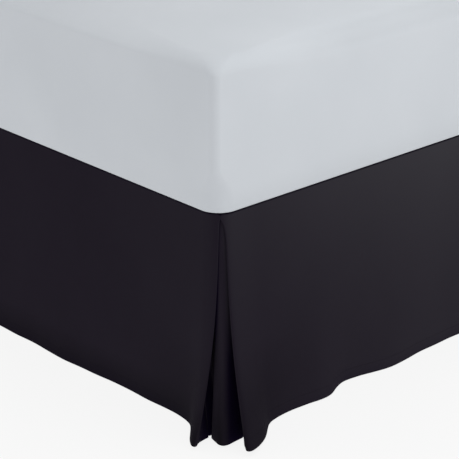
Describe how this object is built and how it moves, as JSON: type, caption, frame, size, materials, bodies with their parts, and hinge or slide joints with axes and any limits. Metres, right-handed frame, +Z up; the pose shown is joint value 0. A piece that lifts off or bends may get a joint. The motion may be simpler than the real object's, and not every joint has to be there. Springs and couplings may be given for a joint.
{
  "type": "bed skirt on a box spring under a mattress",
  "caption": "Tailored three-sided bed skirt with inverted corner pleats, hung from a deck between a mattress and a box spring.",
  "frame": {"origin": "on the floor, under the middle of the overall box", "axes": "+Z up, +Y along the bed towards its head, +X to the right in a plan drawn with the head at the top"},
  "size_m": [1.6798, 2.0948, 0.6443],
  "materials": {
    "skirt_cloth": "near-black brushed microfibre, plain weave, matt with a faint sheen",
    "deck_cloth": "the same near-black cloth, laid flat",
    "mattress_cover": "pale cool grey cotton cover, matt",
    "box_spring_cover": "oatmeal woven cover, matt",
    "leg_wood": "dark stained wood, satin"
  },
  "bodies": {
    "root": {"foot_drop": "skirt_cloth", "side_drop_right": "skirt_cloth", "side_drop_left": "skirt_cloth", "corner_underlay_right": "skirt_cloth", "corner_underlay_left": "skirt_cloth", "deck": "deck_cloth", "mattress": "mattress_cover", "box_spring": "box_spring_cover", "leg_1": "leg_wood", "leg_2": "leg_wood", "leg_3": "leg_wood", "leg_4": "leg_wood", "leg_5": "leg_wood", "leg_6": "leg_wood"}
  },
  "joints": []
}
